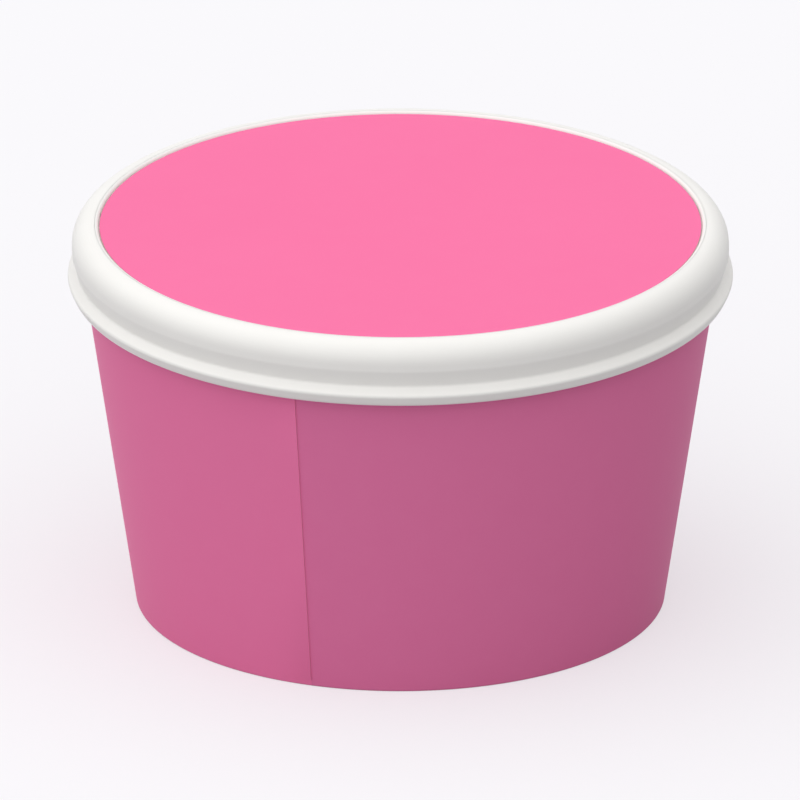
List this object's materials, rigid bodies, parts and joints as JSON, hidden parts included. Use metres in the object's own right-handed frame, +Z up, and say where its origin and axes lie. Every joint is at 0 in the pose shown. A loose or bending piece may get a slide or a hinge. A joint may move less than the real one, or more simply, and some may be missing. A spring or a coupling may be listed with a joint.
{
  "type": "ice cream cup",
  "caption": "Shut paper ice cream cup: tapered pink wall with a side seam, folded foot and recessed base, and a white press-on lid with a pink card disc set in its top.",
  "frame": {"origin": "middle of the cup's foot, on the surface it stands on", "axes": "+Z up along the cup's axis, -Y towards the shown front, +X to its right"},
  "size_m": [0.1, 0.1, 0.0598],
  "materials": {
    "printed_board": "pink print on coated paperboard, satin",
    "base_board": "plain white coated paperboard",
    "lid_plastic": "white moulded plastic, soft satin",
    "disc_card": "pink print on card, satin"
  },
  "bodies": {
    "root": {"cup": "printed_board", "cup_base": "base_board", "lid": "lid_plastic", "lid_disc": "disc_card"}
  },
  "joints": []
}
